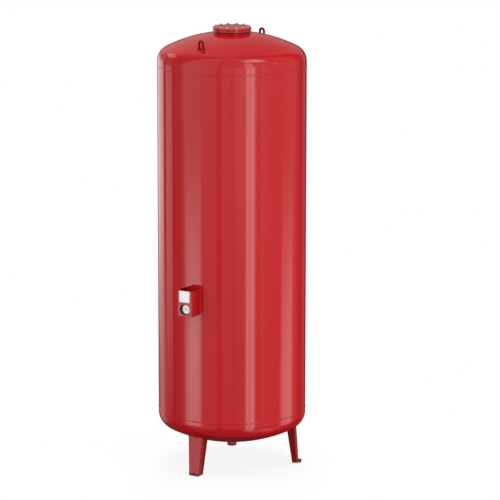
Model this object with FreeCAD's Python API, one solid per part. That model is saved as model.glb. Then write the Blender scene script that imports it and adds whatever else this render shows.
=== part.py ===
import FreeCAD, Part
import math
import os

# Floor-standing expansion tank: a welded steel shell on three pressed legs, with a bladder inside,
# a bolted cover on top, a pipe connection below and a gauge with its gas valve behind a bent guard.
# Millimetres, +Z up, origin on the floor at the tank's axis, the gauge on the -Y side.

# Shell and dished heads. A torispherical head has a crown radius equal to the shell's diameter
# and a knuckle radius of a tenth of it.
vessel_diameter = 740.0
plate_wall = 4.0
floor_to_lower_seam = 286.0
seam_to_seam = 1738.0
head_skirt = 21.5
crown_radius = vessel_diameter
knuckle_radius = vessel_diameter / 10

# How far a cutting body runs past the faces that it cuts
cut_past = 1.0

# Butt welds between the plates
weld_width = 6.0
weld_cap = 1.2
weld_root = 0.8
weld_clearance = 0.2

# Bolted opening in the crown of the upper head
ring_diameter = 190.0
ring_thickness = 9.0
ring_standoff = 3.6
hub_diameter = 176.0
hub_depth = 17.0
opening_diameter = 130.0
ring_weld_leg = 4.0
cover_thickness = 9.0
cover_chamfer = 1.0
bolt_circle = 160.0
bolt_count = 12
bolt_diameter = 8.0
bolt_length = 20.0
bolt_head_width = 13.0
bolt_head_height = 5.3
bolt_hole_in_cover = 9.0
washer_diameter = 16.0
washer_hole = 8.4
washer_thickness = 1.6
thread_clearance = 0.05
blind_hole_spare = 3.0
plug_diameter = 13.0
plug_length = 7.0
plug_head_width = 19.0
plug_head_height = 5.0
plug_washer_diameter = 20.0
plug_washer_thickness = 1.5

# Bladder, hung from the cover's joint and drawn over the connection pipe
bladder_wall = 3.0
bladder_rim = 2.0
bladder_rim_inset = 1.5
bladder_gap = 25.0
bladder_neck_clearance = 2.0
clamp_width = 9.0
clamp_thickness = 1.2

# Lifting eyes of bent round bar, one at the front and one at the rear, turned a little about the axis
eye_bar = 12.0
eye_span = 24.0
eye_height = 43.0
eye_inset = 91.0
eye_turn = -1.1
eye_weld_leg = 4.0

# Pressed legs, each a channel open to the inside with its foot bent outwards. Their turns about the axis,
# in degrees, put the first just left of the gauge, the second a third of a turn on and the third behind
# the first as the photo sees it.
leg_turns = (-2.8, 117.2, 244.0)
leg_sheet = 5.0
leg_top_width = 98.0
leg_bottom_width = 68.0
leg_top_depth = 50.5
leg_bottom_depth = 28.0
leg_top_inset = 52.0
leg_bottom_inset = 34.0
leg_bend = 8.0
leg_seat_gap = 0.2
foot_length = 16.0
foot_width = 56.0
foot_offset = 6.0
foot_corner = 5.0
foot_bend = 4.0
flange_end_rise = 1.0
leg_weld_leg = 3.5

# Pipe connection in the middle of the lower head
pipe_diameter = 48.3
pipe_wall = 3.2
pipe_below_crown = 40.0
pipe_inside = 32.0
thread_diameter = 47.8
thread_length = 25.0
thread_chamfer = 1.0
pipe_fit = 0.1
connection_weld_leg = 11.0

# Gauge guard: one bent sheet, open above and below
guard_width = 84.0
guard_height = 129.0
guard_bottom = 834.0
guard_proud = 74.0
guard_sheet = 2.5
guard_bend = 4.0
guard_weld_leg = 4.0
guard_hole = 55.0
guard_hole_above_edge = 6.0
label_width = 58.0
label_height = 56.0
label_thickness = 0.4
label_corner = 2.0
label_offset = -2.0
label_below_edge = 2.5

# Socket in the shell, and the brass block that carries the gauge and the gas valve
boss_diameter = 30.0
boss_proud = 8.5
boss_weld_leg = 5.0
block_width = 26.0
block_height = 30.0
block_depth = 22.0
block_spigot = 16.0
block_spigot_length = 12.0
gas_bore = 5.0
gas_valve_diameter = 8.0
gas_valve_thread = 8.0
gas_valve_hex = 12.0
gas_valve_hex_height = 4.0
gas_valve_reach = 22.0
gas_valve_bore = 3.0
cap_diameter = 11.0
cap_height = 15.0
cap_bore_depth = 12.0
cap_clearance = 0.1
cap_top_gap = 0.3
cap_ribs = 12
cap_rib_depth = 0.5

# Pressure gauge, 54 mm over its bezel, set back behind the hole in the guard's face
gauge_recess = 9.5
bezel_diameter = 54.0
bezel_lip = 1.5
bezel_depth = 8.0
bezel_wall = 0.9
bezel_clearance = 0.1
dial_opening = 45.0
case_wall = 1.2
lens_thickness = 2.0
lens_to_dial = 2.0
dial_thickness = 0.8
dial_clearance = 0.3
stem_hex = 14.0
stem_hex_height = 8.0
stem_thread = 11.0
stem_thread_length = 9.0
stem_post = 10.0
stem_post_length = 5.0
stem_arm_width = 6.0
stem_arm_depth = 5.0
tube_diameter = 4.4
tube_coil_radius = 15.5
tube_sweep = 250.0
movement_diameter = 14.0
movement_clearance = 0.3
pointer_shaft = 1.6
pointer_shaft_clearance = 0.05
pointer_length = 19.0
pointer_tail = 7.0
pointer_width = 2.0
pointer_thickness = 0.6
pointer_hub = 6.0
pointer_above_dial = 0.8
pointer_rest_angle = 54.0

shell_radius = vessel_diameter / 2
shell_inside = shell_radius - plate_wall
lower_seam = floor_to_lower_seam
upper_seam = lower_seam + seam_to_seam
lower_tangent = lower_seam - head_skirt
upper_tangent = upper_seam + head_skirt
knuckle_centre = shell_radius - knuckle_radius
crown_drop = math.sqrt((crown_radius - knuckle_radius) ** 2 - knuckle_centre ** 2)
knuckle_turn = math.atan2(crown_drop, knuckle_centre)
crown_top = upper_tangent + crown_radius - crown_drop
crown_bottom = lower_tangent - crown_radius + crown_drop

ring_bottom = crown_top + ring_standoff
ring_top = ring_bottom + ring_thickness
cover_bottom = ring_top + bladder_rim
cover_top = cover_bottom + cover_thickness
eye_radius = shell_radius - eye_inset
leg_top_radius = shell_radius - leg_top_inset
leg_bottom_radius = shell_radius - leg_bottom_inset
foot_reach = leg_bottom_radius + foot_length
pipe_bottom = crown_bottom - pipe_below_crown
pipe_top = crown_bottom + pipe_inside
guard_front = shell_radius + guard_proud
gauge_height = guard_bottom + guard_hole_above_edge + guard_hole / 2
block_back = shell_radius + boss_proud
block_front = block_back + block_depth
case_back = block_front + stem_hex_height
bezel_front = guard_front - gauge_recess
lens_front = bezel_front - bezel_lip
case_front = lens_front - lens_thickness
case_radius = bezel_diameter / 2 - bezel_wall - bezel_clearance
dial_front = case_front - lens_to_dial
dial_back = dial_front - dial_thickness

up = FreeCAD.Vector(0, 0, 1)
axis_point = FreeCAD.Vector(0, 0, 0)


def point(x, y, z):
    return FreeCAD.Vector(x, y, z)


def save(name, shape):
    if not shape.isValid():
        raise RuntimeError(name + " is not a valid shape")
    shape.exportStep("parts/" + name + ".step")
    box = shape.BoundBox
    print("%-24s solids %2d volume %12.1f  z %8.1f to %8.1f" %
          (name, len(shape.Solids), shape.Volume, box.ZMin, box.ZMax))


def turned(edges):
    # Solid of revolution about the tank's axis from a closed outline in the XZ plane.
    return Part.Face(Part.Wire(edges)).revolve(axis_point, up, 360)


def outline(corners):
    return Part.makePolygon(corners + corners[:1]).Edges


def ring(outer, inner, low, high):
    return turned(outline([point(inner, 0, low), point(outer, 0, low),
                           point(outer, 0, high), point(inner, 0, high)]))


def rod(radius, low, high, x=0.0, y=0.0):
    return Part.makeCylinder(radius, high - low, point(x, y, low))


def forward_rod(radius, back, front, x=0.0, z=0.0):
    # Cylinder that points to the front, between two distances from the tank's axis.
    return Part.makeCylinder(radius, front - back, point(x, -back, z), point(0, -1, 0))


def box(x_low, x_high, y_low, y_high, z_low, z_high):
    return Part.makeBox(x_high - x_low, y_high - y_low, z_high - z_low, point(x_low, y_low, z_low))


def prism(corners, along):
    return Part.Face(Part.makePolygon(corners + corners[:1])).extrude(along)


def hexagon(across_flats, low, high, x=0.0, y=0.0):
    reach = across_flats / math.sqrt(3)
    turns = [math.radians(60 * i) for i in range(6)]
    corners = [point(x + reach * math.cos(turn), y + reach * math.sin(turn), low) for turn in turns]
    return prism(corners, point(0, 0, high - low))


def turn_about_axis(shape, degrees):
    copy = shape.copy()
    copy.rotate(axis_point, up, degrees)
    return copy


def facing_front(shape, distance, height):
    # Moves a piece drawn about +Z so that +Z points to the front, at a distance and a height.
    copy = shape.copy()
    copy.rotate(axis_point, point(1, 0, 0), 90)
    copy.translate(point(0, -distance, height))
    return copy


def dish_edges(tangent, side, offset, stop_radius):
    # Knuckle and crown arcs of a head, offset outwards, from the tangent plane to a stop radius.
    # Side is 1 for the upper head and -1 for the lower one. Returns the edges and both ends.
    knuckle = knuckle_radius + offset
    crown = crown_radius + offset
    crown_centre = tangent - side * crown_drop
    stop_turn = math.acos(stop_radius / crown)

    def on_knuckle(turn):
        return point(knuckle_centre + knuckle * math.cos(turn), 0, tangent + side * knuckle * math.sin(turn))

    def on_crown(turn):
        return point(crown * math.cos(turn), 0, crown_centre + side * crown * math.sin(turn))

    start = on_knuckle(0)
    joint = on_knuckle(knuckle_turn)
    end = point(stop_radius, 0, on_crown(stop_turn).z)
    arcs = [Part.Arc(start, on_knuckle(knuckle_turn / 2), joint).toShape(),
            Part.Arc(joint, on_crown((knuckle_turn + stop_turn) / 2), end).toShape()]
    return arcs, start, end


def line(start, end):
    return Part.makeLine(start, end)


def dished_head(seam, tangent, side, hole_radius):
    edge = seam + side * weld_width / 2
    outer, outer_start, outer_end = dish_edges(tangent, side, 0, hole_radius)
    inner, inner_start, inner_end = dish_edges(tangent, side, -plate_wall, hole_radius)
    outer_edge = point(shell_radius, 0, edge)
    inner_edge = point(shell_inside, 0, edge)
    return turned([line(outer_edge, outer_start)] + outer + [line(outer_end, inner_end)] +
                  inner[::-1] + [line(inner_start, inner_edge), line(inner_edge, outer_edge)])


def head_body(tangent, side, offset):
    # The head as a full body, offset outwards, which cuts what is welded onto it.
    arcs, start, end = dish_edges(tangent, side, offset, 0)
    centre = point(0, 0, tangent)
    return turned(arcs + [line(end, centre), line(centre, start)])


def crown_height(tangent, side, offset, radius):
    # Height of a head's crown, offset outwards, at a distance from the tank's axis.
    return tangent + side * (math.sqrt((crown_radius + offset) ** 2 - radius ** 2) - crown_drop)


def head_height(radius):
    return crown_height(upper_tangent, 1, 0, radius)


def boss_hole():
    return forward_rod(boss_diameter / 2 + weld_clearance, shell_radius / 2, block_back, 0, gauge_height)


def shell_cylinder():
    shell = ring(shell_radius, shell_inside, lower_seam + weld_width / 2, upper_seam - weld_width / 2)
    slit = box(-weld_width / 2, weld_width / 2, 0, shell_radius + cut_past, lower_seam, upper_seam)
    return shell.cut(slit).cut(boss_hole())


def weld_section(inner, outer, root, cap, place):
    # Closed outline of a butt weld, domed outside and inside; place maps (radius, across) to a point.
    half = weld_width / 2
    corners = [place(inner, -half), place(outer, -half), place(outer, half), place(inner, half)]
    return [line(corners[0], corners[1]),
            Part.Arc(corners[1], place(cap, 0), corners[2]).toShape(),
            line(corners[2], corners[3]),
            Part.Arc(corners[3], place(root, 0), corners[0]).toShape()]


def girth_weld(seam):
    return turned(weld_section(shell_inside, shell_radius, shell_inside - weld_root, shell_radius + weld_cap,
                               lambda radius, across: point(radius, 0, seam + across)))


def longitudinal_weld():
    low = lower_seam + weld_width / 2
    half = weld_width / 2
    inner = math.sqrt(shell_inside ** 2 - half ** 2)
    outer = math.sqrt(shell_radius ** 2 - half ** 2)
    edges = weld_section(inner, outer, shell_inside - weld_root, shell_radius + weld_cap,
                         lambda radius, across: point(across, radius, low))
    return Part.Face(Part.Wire(edges)).extrude(point(0, 0, seam_to_seam - weld_width))


def bolt_places():
    # The bolts straddle the tank's centre lines, as flange bolts do.
    for i in range(bolt_count):
        turn = 2 * math.pi * (i + 0.5) / bolt_count
        yield bolt_circle / 2 * math.cos(turn), bolt_circle / 2 * math.sin(turn)


def flange_ring():
    opening = opening_diameter / 2
    hub = hub_diameter / 2
    rim = ring_diameter / 2
    body = turned(outline([point(opening, 0, ring_bottom - hub_depth), point(hub, 0, ring_bottom - hub_depth),
                           point(hub, 0, ring_bottom), point(rim, 0, ring_bottom),
                           point(rim, 0, ring_top), point(opening, 0, ring_top)]))
    bolt_reach = cover_thickness + washer_thickness + bladder_rim
    depth = bolt_length - bolt_reach + blind_hole_spare
    radius = bolt_diameter / 2 + thread_clearance
    return body.cut(Part.makeCompound([rod(radius, ring_top - depth, ring_top + cut_past, x, y)
                                       for x, y in bolt_places()]))


def crown_fillet(tangent, side, inner, leg_length):
    # Fillet weld that runs around the tank's axis, on the outside of a head's crown.
    outer = inner + leg_length
    corner = crown_height(tangent, side, weld_clearance, inner)
    toe = crown_height(tangent, side, weld_clearance, outer)
    return turned(outline([point(inner, 0, corner), point(outer, 0, toe),
                           point(inner, 0, corner + side * leg_length)]))


def flange_ring_weld():
    # Fillet weld between the ring's hub and the crown of the upper head.
    return crown_fillet(upper_tangent, 1, hub_diameter / 2 + weld_clearance, ring_weld_leg)


def cover_plate():
    rim = ring_diameter / 2
    plate = turned(outline([point(0, 0, cover_bottom), point(rim, 0, cover_bottom),
                            point(rim, 0, cover_top - cover_chamfer),
                            point(rim - cover_chamfer, 0, cover_top), point(0, 0, cover_top)]))
    low = cover_bottom - cut_past
    high = cover_top + cut_past
    holes = [rod(bolt_hole_in_cover / 2, low, high, x, y) for x, y in bolt_places()]
    holes.append(rod(plug_diameter / 2 + thread_clearance, low, high))
    return plate.cut(Part.makeCompound(holes))


def cover_washers():
    low = cover_top
    high = cover_top + washer_thickness
    washer = ring(washer_diameter / 2, washer_hole / 2, low, high)
    return Part.makeCompound([washer.translated(point(x, y, 0)) for x, y in bolt_places()])


def hex_bolt(shank_diameter, shank_length, head_width, head_thick, seat):
    # Hexagon head with a chamfered top, on a plain shank that goes down from its seat.
    head = hexagon(head_width, seat, seat + head_thick)
    chamfer_cone = Part.makeCone(head_width / 2 + 2 * head_thick, head_width / 2, head_thick,
                                 point(0, 0, seat))
    return head.common(chamfer_cone).fuse(rod(shank_diameter / 2, seat - shank_length, seat)).removeSplitter()


def cover_bolts():
    seat = cover_top + washer_thickness
    bolt = hex_bolt(bolt_diameter, bolt_length, bolt_head_width, bolt_head_height, seat)
    return Part.makeCompound([bolt.translated(point(x, y, 0)) for x, y in bolt_places()])


def vent_plug():
    return hex_bolt(plug_diameter, plug_length, plug_head_width, plug_head_height,
                    cover_top + plug_washer_thickness)


def vent_plug_washer():
    return ring(plug_washer_diameter / 2, plug_diameter / 2 + thread_clearance,
                cover_top, cover_top + plug_washer_thickness)


def bladder():
    # One moulded bag: a flat rim in the cover's joint, a neck, the bag itself and a lower neck.
    neck = opening_diameter / 2 - bladder_neck_clearance
    low_neck = pipe_diameter / 2 + pipe_fit + bladder_wall
    rim = ring_diameter / 2 - bladder_rim_inset
    outside = -plate_wall - bladder_gap
    inside = outside - bladder_wall
    top_out, top_out_start, top_out_end = dish_edges(upper_tangent, 1, outside, neck)
    top_in, top_in_start, top_in_end = dish_edges(upper_tangent, 1, inside, neck - bladder_wall)
    low_out, low_out_start, low_out_end = dish_edges(lower_tangent, -1, outside, low_neck)
    low_in, low_in_start, low_in_end = dish_edges(lower_tangent, -1, inside, low_neck - bladder_wall)
    rim_under = point(rim, 0, ring_top)
    rim_over = point(rim, 0, cover_bottom)
    neck_out = point(neck, 0, ring_top)
    neck_in = point(neck - bladder_wall, 0, cover_bottom)
    sleeve_out = point(low_neck, 0, sleeve_end())
    sleeve_in = point(low_neck - bladder_wall, 0, sleeve_end())
    bag = turned([line(rim_over, rim_under), line(rim_under, neck_out), line(neck_out, top_out_end)] +
                 top_out[::-1] + [line(top_out_start, low_out_start)] + low_out +
                 [line(low_out_end, sleeve_out), line(sleeve_out, sleeve_in), line(sleeve_in, low_in_end)] +
                 low_in[::-1] + [line(low_in_start, top_in_start)] + top_in +
                 [line(top_in_end, neck_in), line(neck_in, rim_over)])
    holes = [rod(bolt_hole_in_cover / 2, ring_top - cut_past, cover_bottom + cut_past, x, y)
             for x, y in bolt_places()]
    return bag.cut(Part.makeCompound(holes))


def sleeve_end():
    # Height at which the bladder's lower neck ends, just above the inside of the lower head.
    neck = pipe_diameter / 2 + pipe_fit + bladder_wall
    return crown_height(lower_tangent, -1, -plate_wall, neck) + weld_clearance


def bladder_clamp():
    inner = pipe_diameter / 2 + pipe_fit + bladder_wall + weld_clearance
    middle = (pipe_top + sleeve_end()) / 2
    return ring(inner + clamp_thickness, inner, middle - clamp_width / 2, middle + clamp_width / 2)


def connection_pipe():
    # Pipe through the lower head, its lower end turned down for the thread.
    outer = pipe_diameter / 2
    inner = outer - pipe_wall
    thread = thread_diameter / 2
    shoulder = pipe_bottom + thread_length
    return turned(outline([point(inner, 0, pipe_bottom), point(thread - thread_chamfer, 0, pipe_bottom),
                           point(thread, 0, pipe_bottom + thread_chamfer), point(thread, 0, shoulder),
                           point(outer, 0, shoulder), point(outer, 0, pipe_top), point(inner, 0, pipe_top)]))


def connection_weld():
    return crown_fillet(lower_tangent, -1, pipe_diameter / 2 + weld_clearance, connection_weld_leg)


def lifting_eye():
    # Round bar bent to a half circle on two straight legs, standing on the crown at the front.
    bend = eye_span / 2
    bar = eye_bar / 2
    y = -eye_radius
    bend_centre = head_height(eye_radius) + eye_height - bar - bend
    low = bend_centre - eye_height
    left = point(-bend, y, bend_centre)
    right = point(bend, y, bend_centre)
    half_circle = Part.Arc(left, point(0, y, bend_centre + bend), right).toShape()
    path = Part.Wire([line(point(-bend, y, low), left), half_circle, line(right, point(bend, y, low))])
    section = Part.Wire(Part.makeCircle(bar, point(-bend, y, low), up))
    return path.makePipeShell([section], True, False).cut(head_body(upper_tangent, 1, weld_clearance))


def lifting_eye_weld():
    # A fillet weld around each leg of the eye, following the slope of the crown.
    inner = eye_bar / 2 + weld_clearance
    low = head_height(eye_radius) - 2 * eye_weld_leg
    high = head_height(eye_radius) + eye_weld_leg
    head = head_body(upper_tangent, 1, weld_clearance)
    beads = []
    for side in (-1, 1):
        x = side * eye_span / 2
        cone = Part.makeCone(inner + high - low, inner, high - low, point(x, -eye_radius, low))
        edge = rod(inner + 1.5 * eye_weld_leg, low, high, x, -eye_radius)
        beads.append(cone.common(edge).cut(rod(inner, low, high, x, -eye_radius)).cut(head))
    return Part.makeCompound(beads)


def tapered_block(low, high):
    # Solid between two four-cornered sections, with flat sides.
    rings = [low[::-1], high]
    for i in range(4):
        j = (i + 1) % 4
        rings.append([low[i], low[j], high[j], high[i]])
    faces = [Part.Face(Part.makePolygon(corners + corners[:1])) for corners in rings]
    return Part.Solid(Part.Shell(faces))


def leg_block(grow, inset):
    # Tapered block of a leg's outside. Grow widens it on three sides, and inset gives the
    # hollow inside the sheet, which runs on past the open side.
    top = lower_tangent
    slope = (leg_top_radius - leg_bottom_radius) / top
    ends = ((0, leg_bottom_width, leg_bottom_depth), (top, leg_top_width, leg_top_depth))
    sections = []
    for height, width, depth in ends:
        half = width / 2 + grow - inset
        front = -(leg_bottom_radius + slope * height + grow - inset)
        back = front + grow - inset + depth + inset * 2
        sections.append([point(-half, front, height), point(half, front, height),
                         point(half, back, height), point(-half, back, height)])
    return tapered_block(sections[0], sections[1])


def front_bends(block, radius):
    # Rounds the two upright edges of a leg's block at its front.
    bends = []
    for edge in block.Edges:
        low = edge.BoundBox
        upright = low.ZLength > lower_tangent / 2
        if upright and edge.CenterOfMass.y < block.CenterOfMass.y:
            bends.append(edge)
    return block.makeFillet(radius, bends)


def foot_bend_fill():
    # The rounded inside of the bend between a leg's web and its foot.
    web = -leg_bottom_radius
    top = leg_sheet
    middle = foot_bend * (1 - math.sqrt(0.5))
    half = leg_bottom_width / 2 - leg_bend
    corners = [point(-half, web + foot_bend / 2, top), point(-half, web - foot_bend, top),
               point(-half, web, top + foot_bend), point(-half, web + foot_bend / 2, top + foot_bend)]
    bend = Part.Arc(corners[1], point(-half, web - middle, top + middle), corners[2]).toShape()
    edges = [line(corners[0], corners[1]), bend, line(corners[2], corners[3]), line(corners[3], corners[0])]
    return Part.Face(Part.Wire(edges)).extrude(point(2 * half, 0, 0))


def leg():
    outside = front_bends(leg_block(0, 0), leg_bend)
    inside = front_bends(leg_block(0, leg_sheet), leg_bend - leg_sheet)
    channel = outside.cut(inside)
    web_inside = leg_bottom_radius - leg_sheet
    past_flanges = leg_bottom_radius - leg_top_depth
    side = leg_top_width
    under_flanges = box(-side, side, -web_inside, -past_flanges, -cut_past, flange_end_rise)
    channel = channel.cut(under_flanges)
    foot = box(foot_offset - foot_width / 2, foot_offset + foot_width / 2, -foot_reach, -web_inside,
               0, leg_sheet)
    corners = [edge for edge in foot.Edges
               if edge.BoundBox.ZLength > leg_sheet / 2 and edge.CenterOfMass.y < -foot_reach + foot_corner]
    foot = foot.makeFillet(foot_corner, corners)
    body = channel.fuse([foot, foot_bend_fill()]).removeSplitter()
    return body.cut(head_body(lower_tangent, -1, leg_seat_gap))


def leg_weld():
    # Weld along the outside of a leg's three walls, where they meet the head.
    near_head = leg_block(leg_weld_leg, 0).common(head_body(lower_tangent, -1, leg_weld_leg + weld_clearance))
    bead = near_head.cut(leg_block(weld_clearance, 0))
    return bead.cut(head_body(lower_tangent, -1, weld_clearance))


def guard_sheet_body():
    low = guard_bottom
    high = guard_bottom + guard_height

    def block(half, front, bend):
        body = box(-half, half, -front, -shell_radius / 2, low, high)
        edges = [edge for edge in body.Edges
                 if edge.BoundBox.ZLength > guard_height / 2 and edge.CenterOfMass.y < -shell_radius]
        return body.makeFillet(bend, edges)

    outside = block(guard_width / 2, guard_front, guard_bend)
    inside = block(guard_width / 2 - guard_sheet, guard_front - guard_sheet, guard_bend - guard_sheet)
    return outside.cut(inside)


def gauge_guard():
    hole = forward_rod(guard_hole / 2, shell_radius, guard_front + cut_past, 0, gauge_height)
    shell = rod(shell_radius + weld_clearance, guard_bottom - cut_past,
                guard_bottom + guard_height + cut_past)
    return guard_sheet_body().cut(hole).cut(shell)


def guard_welds():
    # An upright fillet weld on the outside of each wall of the guard.
    seat = shell_radius + weld_clearance
    near = guard_width / 2 + weld_clearance
    far = near + guard_weld_leg
    beads = []
    for side in (-1, 1):
        corners = [point(side * near, -math.sqrt(seat ** 2 - near ** 2), guard_bottom),
                   point(side * far, -math.sqrt(seat ** 2 - far ** 2), guard_bottom),
                   point(side * near, -math.sqrt(seat ** 2 - near ** 2) - guard_weld_leg, guard_bottom)]
        beads.append(prism(corners, point(0, 0, guard_height)))
    return Part.makeCompound(beads)


def label_plate():
    high = guard_bottom + guard_height - label_below_edge
    middle = label_offset
    plate = box(middle - label_width / 2, middle + label_width / 2,
                -guard_front - label_thickness, -guard_front, high - label_height, high)
    corners = [edge for edge in plate.Edges if edge.BoundBox.YLength > label_thickness / 2]
    return plate.makeFillet(label_corner, corners)


def shell_boss():
    back = math.sqrt(shell_inside ** 2 - (boss_diameter / 2) ** 2)
    body = forward_rod(boss_diameter / 2, back, block_back, 0, gauge_height)
    bore = forward_rod(block_spigot / 2 + thread_clearance, back - cut_past, block_back + cut_past,
                       0, gauge_height)
    return body.cut(bore)


def boss_weld():
    # Fillet weld around the boss, where it leaves the shell.
    inner = boss_diameter / 2 + weld_clearance
    start = shell_radius - boss_weld_leg
    length = 2 * boss_weld_leg
    cone = Part.makeCone(inner + length, inner, length, point(0, -start, gauge_height), point(0, -1, 0))
    edge = forward_rod(inner + boss_weld_leg, start, start + length, 0, gauge_height)
    shell = rod(shell_radius + weld_clearance, guard_bottom, guard_bottom + guard_height)
    core = forward_rod(inner, start - cut_past, start + length + cut_past, 0, gauge_height)
    return cone.common(edge).cut(core).cut(shell)


def gas_valve_distance():
    return (block_back + block_front) / 2


def valve_block():
    half = block_width / 2
    low = gauge_height - block_height / 2
    high = gauge_height + block_height / 2
    spigot_back = block_back - block_spigot_length
    body = box(-half, half, -block_front, -block_back, low, high)
    body = body.fuse(forward_rod(block_spigot / 2, spigot_back, block_back, 0, gauge_height)).removeSplitter()
    gauge_bore = forward_rod(stem_thread / 2 + thread_clearance, block_front - stem_thread_length,
                             block_front + cut_past, 0, gauge_height)
    gas_way = forward_rod(gas_bore / 2, spigot_back - cut_past, block_front, 0, gauge_height)
    valve_bore = rod(gas_valve_diameter / 2 + thread_clearance, high - gas_valve_thread, high + cut_past,
                     0, -gas_valve_distance())
    valve_way = rod(gas_valve_bore / 2, gauge_height, high, 0, -gas_valve_distance())
    return body.cut(Part.makeCompound([gauge_bore, gas_way])).cut(valve_bore).cut(valve_way)


def gas_valve_seat():
    return gauge_height + block_height / 2


def gas_valve():
    y = -gas_valve_distance()
    seat = gas_valve_seat()
    radius = gas_valve_diameter / 2
    nut = hexagon(gas_valve_hex, seat, seat + gas_valve_hex_height, 0, y)
    low = seat - gas_valve_thread
    high = seat + gas_valve_hex_height + gas_valve_reach
    stem = rod(radius, low, high, 0, y)
    bore = rod(gas_valve_bore / 2, low - cut_past, high + cut_past, 0, y)
    return nut.fuse(stem).removeSplitter().cut(bore)


def valve_cap():
    y = -gas_valve_distance()
    bore_top = gas_valve_seat() + gas_valve_hex_height + gas_valve_reach + cap_top_gap
    low = bore_top - cap_bore_depth
    body = rod(cap_diameter / 2, low, low + cap_height, 0, y)
    bore = rod(gas_valve_diameter / 2 + cap_clearance, low - cut_past, bore_top, 0, y)
    grooves = []
    for i in range(cap_ribs):
        turn = 2 * math.pi * i / cap_ribs
        reach = cap_diameter / 2 + cap_rib_depth
        grooves.append(rod(2 * cap_rib_depth, low - cut_past, low + cap_bore_depth,
                           reach * math.cos(turn), y + reach * math.sin(turn)))
    return body.cut(bore).cut(Part.makeCompound(grooves))


def stem_post_top():
    return stem_hex_height + case_wall + stem_post_length


def stem_arm():
    return box(-stem_arm_width / 2, stem_arm_width / 2, -tube_coil_radius - tube_diameter / 2, 0,
               stem_post_top() - stem_arm_depth, stem_post_top())


def gauge_stem():
    # Brass socket of the gauge: thread, hexagon, a post in the case and an arm for the tube.
    hexagon_body = hexagon(stem_hex, 0, stem_hex_height)
    thread = rod(stem_thread / 2, -stem_thread_length + thread_clearance, 0)
    post = rod(stem_post / 2, stem_hex_height, stem_post_top())
    bore = rod(gas_bore / 2, -stem_thread_length - cut_past, stem_hex_height)
    return facing_front(hexagon_body.fuse([thread, post, stem_arm()]).removeSplitter().cut(bore),
                        block_front, gauge_height)


def gauge_case():
    cup = forward_rod(case_radius, case_back, case_front, 0, gauge_height)
    inside = forward_rod(case_radius - case_wall, case_back + case_wall, case_front + cut_past,
                         0, gauge_height)
    hole = forward_rod(stem_post / 2 + bezel_clearance, case_back - cut_past, case_front, 0, gauge_height)
    return cup.cut(inside).cut(hole)


def gauge_bezel():
    outer = bezel_diameter / 2
    inner = outer - bezel_wall
    lip = dial_opening / 2
    depth = bezel_depth
    bend = bezel_lip / 2
    section = outline([point(inner, 0, 0), point(outer, 0, 0), point(outer, 0, depth - bend),
                       point(outer - bend, 0, depth), point(lip + bend, 0, depth),
                       point(lip, 0, depth - bend), point(lip, 0, depth - bezel_lip),
                       point(inner, 0, depth - bezel_lip)])
    return facing_front(turned(section), bezel_front - bezel_depth, gauge_height)


def gauge_lens():
    return forward_rod(case_radius - bezel_clearance, case_front, lens_front, 0, gauge_height)


def gauge_dial():
    disc = forward_rod(case_radius - case_wall - dial_clearance, dial_back, dial_front, 0, gauge_height)
    hole = forward_rod(pointer_shaft / 2 + pointer_shaft_clearance, dial_back - cut_past,
                       dial_front + cut_past, 0, gauge_height)
    return disc.cut(hole)


def movement_back():
    return case_back + case_wall + stem_post_length


def gauge_movement():
    # Drum of the movement, on the stem's post, with the bearing of the pointer's shaft.
    front = dial_back
    drum = forward_rod(movement_diameter / 2, movement_back(), front, 0, gauge_height)
    bearing = forward_rod(pointer_shaft / 2 + pointer_shaft_clearance, movement_back() + movement_clearance,
                          front + cut_past, 0, gauge_height)
    return drum.cut(bearing)


def bourdon_tube():
    # Curved pressure tube, from the stem's arm round to its closed tip.
    start = FreeCAD.Vector(0, -tube_coil_radius, 0)
    section = Part.Face(Part.Wire(Part.makeCircle(tube_diameter / 2, start, point(1, 0, 0))))
    coil = section.revolve(axis_point, up, tube_sweep)
    coil.translate(point(0, 0, stem_post_top() - stem_arm_depth / 2))
    return facing_front(coil.cut(stem_arm()), block_front, gauge_height)


def gauge_pointer():
    # Shaft, hub and needle in one, turned to the reading that the gauge rests at.
    hub_low = dial_front + pointer_above_dial
    hub_high = hub_low + pointer_thickness
    shaft_low = movement_back() + 2 * movement_clearance
    shaft = rod(pointer_shaft / 2, shaft_low - dial_front, hub_low - dial_front)
    low = hub_low - dial_front
    high = hub_high - dial_front
    hub = rod(pointer_hub / 2, low, high)
    half = pointer_width / 2
    needle = prism([point(-half, -pointer_tail, low), point(half, -pointer_tail, low),
                    point(half / 3, pointer_length, low), point(-half / 3, pointer_length, low)],
                   point(0, 0, high - low))
    body = hub.fuse([needle, shaft]).removeSplitter()
    body.rotate(axis_point, up, pointer_rest_angle)
    return facing_front(body, dial_front, gauge_height)


os.makedirs("parts", exist_ok=True)

save("shell_cylinder", shell_cylinder())
save("longitudinal_weld", longitudinal_weld())
save("upper_head", dished_head(upper_seam, upper_tangent, 1, hub_diameter / 2 + weld_clearance))
save("lower_head", dished_head(lower_seam, lower_tangent, -1, pipe_diameter / 2 + weld_clearance))
save("upper_girth_weld", girth_weld(upper_seam))
save("lower_girth_weld", girth_weld(lower_seam))
save("flange_ring", flange_ring())
save("flange_ring_weld", flange_ring_weld())
save("cover_plate", cover_plate())
save("cover_washers", cover_washers())
save("cover_bolts", cover_bolts())
save("vent_plug", vent_plug())
save("vent_plug_washer", vent_plug_washer())
save("bladder", bladder())
save("bladder_clamp", bladder_clamp())
save("connection_pipe", connection_pipe())
save("connection_weld", connection_weld())

for place, degrees in (("front", eye_turn), ("rear", eye_turn + 180)):
    save("lifting_eye_" + place, turn_about_axis(lifting_eye(), degrees))
    save("lifting_eye_weld_" + place, turn_about_axis(lifting_eye_weld(), degrees))

for place, degrees in zip(("front", "right", "left"), leg_turns):
    save("leg_" + place, turn_about_axis(leg(), degrees))
    save("leg_weld_" + place, turn_about_axis(leg_weld(), degrees))

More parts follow.
